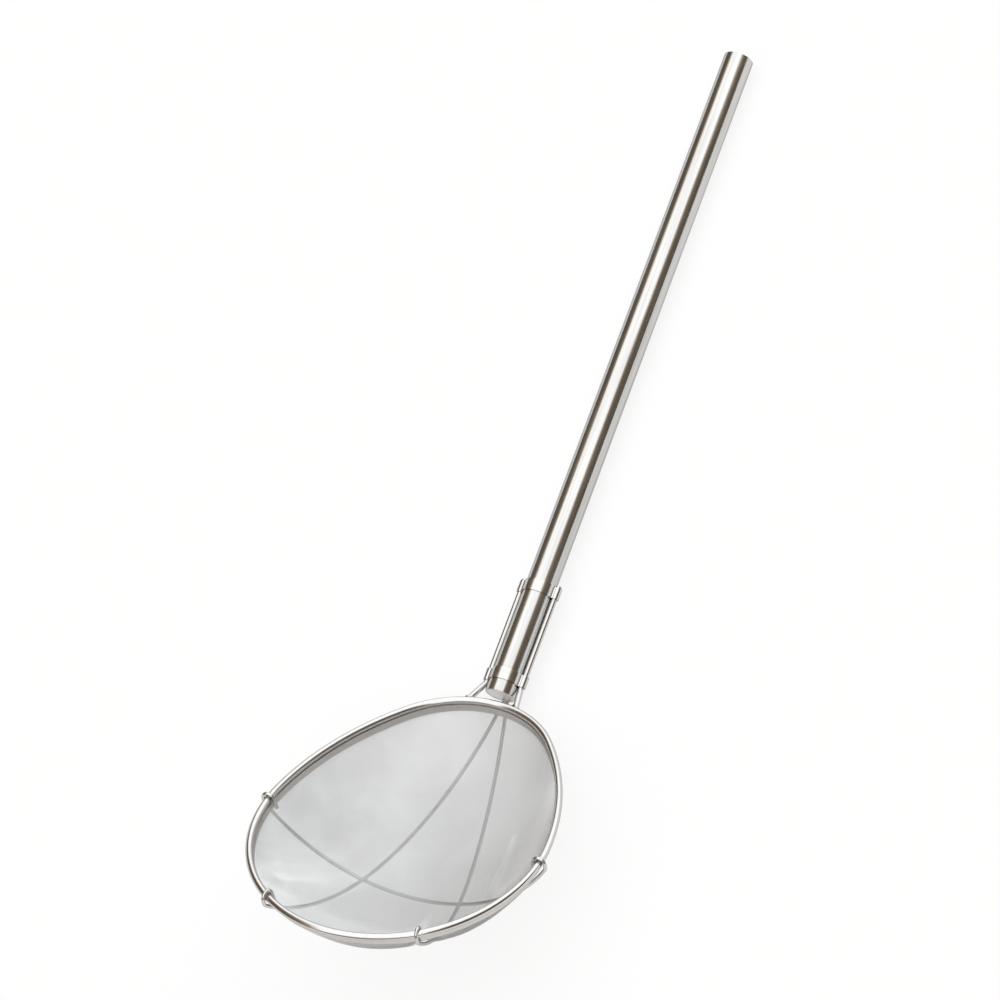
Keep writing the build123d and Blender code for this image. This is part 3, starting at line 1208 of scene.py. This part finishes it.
@dataclass
class Skimmer:
    """The whole tool: its packed steel pieces, its gauze and its welds."""

    rim: RimFrame = field(default_factory=RimFrame)
    tube: TubeFrame = field(init=False)
    ribs: RibLines = field(init=False)
    effects: SharedEffects = field(default_factory=SharedEffects)

    def __post_init__(self) -> None:
        """Place the tube and the ribs from the rim."""
        self.tube = TubeFrame(self.rim)
        self.ribs = RibLines(self.rim, self.tube)

    def finishes(self) -> dict[str, SteelFinish]:
        """List the steel finishes by the slot that they dress.

        Returns:
            The finish of each material slot.
        """
        lean = atan2(-self.tube.axis.z, self.tube.axis.y)
        return {
            "tube_steel": SteelFinish(
                "tube_steel", (0.67, 0.662, 0.65), (0.50, 0.490, 0.475),
                smooth=0.10, rough=0.22, grain=Grain.ALONG_TUBE, lean=lean, contrast=1.1,
            ),
            "cap_steel": SteelFinish(
                "cap_steel", (0.84, 0.835, 0.82), (0.74, 0.73, 0.72), smooth=0.34, rough=0.46
            ),
            "rim_steel": SteelFinish(
                "rim_steel", (0.66, 0.655, 0.645), (0.56, 0.552, 0.54), smooth=0.07, rough=0.14
            ),
            "wire_steel": SteelFinish(
                "wire_steel", (0.64, 0.635, 0.625), (0.54, 0.532, 0.52), smooth=0.06, rough=0.14
            ),
            "band_steel": SteelFinish(
                "band_steel", (0.67, 0.662, 0.65), (0.54, 0.53, 0.515),
                smooth=0.10, rough=0.18, grain=Grain.ACROSS_STRAP,
            ),
            "hem_steel": SteelFinish(
                "hem_steel", (0.70, 0.675, 0.65), (0.56, 0.538, 0.515), smooth=0.28, rough=0.42
            ),
        }

    def dress(self, finishes: dict[str, SteelFinish]) -> dict[str, bpy.types.Material]:
        """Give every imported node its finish.

        Args:
            finishes: the finish of each material slot.

        Returns:
            The material made for each slot.
        """
        made = {slot: finish.material(self.effects) for slot, finish in finishes.items()}
        slots = {
            "handle_tube": "tube_steel",
            "lower_end_cap": "cap_steel",
            "top_end_cap": "cap_steel",
            "rim_hoop": "rim_steel",
            "fork_wire_left": "wire_steel",
            "fork_wire_right": "wire_steel",
            "support_rib_left": "wire_steel",
            "support_rib_right": "wire_steel",
            "cross_rib": "wire_steel",
            "lower_band": "band_steel",
            "upper_band": "band_steel",
            "mesh_hem": "hem_steel",
        }
        for name, slot in slots.items():
            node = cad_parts[name]
            for holder in node.material_slots:
                holder.material = made[slot]
            log.info("%s wears %s", name, slot)
        return made

    def build(self) -> None:
        """Dress the nodes and make the new pieces."""
        made = self.dress(self.finishes())
        woven = GauzeFinish()
        gauze_material = woven.material(self.effects)
        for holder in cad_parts["mesh_bowl"].material_slots:
            holder.material = gauze_material
        report(GauzeBowl(self.rim, self.ribs).build(gauze_material, woven.uv_name))
        beads = WeldBeads(self.rim, self.tube, self.ribs)
        report(beads.fork_welds(made["wire_steel"]))
        report(beads.rib_welds(made["wire_steel"]))
        report(beads.disc_weld("lower_disc_weld", 0.0, made["cap_steel"]))
        report(beads.disc_weld("top_disc_weld", self.tube.length, made["cap_steel"]))


def main() -> None:
    """Build the tool, the studio and the camera, and log the sizes of the new pieces."""
    logging.basicConfig(level=logging.INFO, format="%(name)s: %(message)s")
    skimmer = Skimmer()
    skimmer.build()
    studio = Studio()
    studio.world()
    studio.floor()
    Shot().place(skimmer.rim)
    bpy.context.scene.view_settings.view_transform = "Standard"
    bpy.context.view_layer.update()


if __name__ == "__main__":
    main()
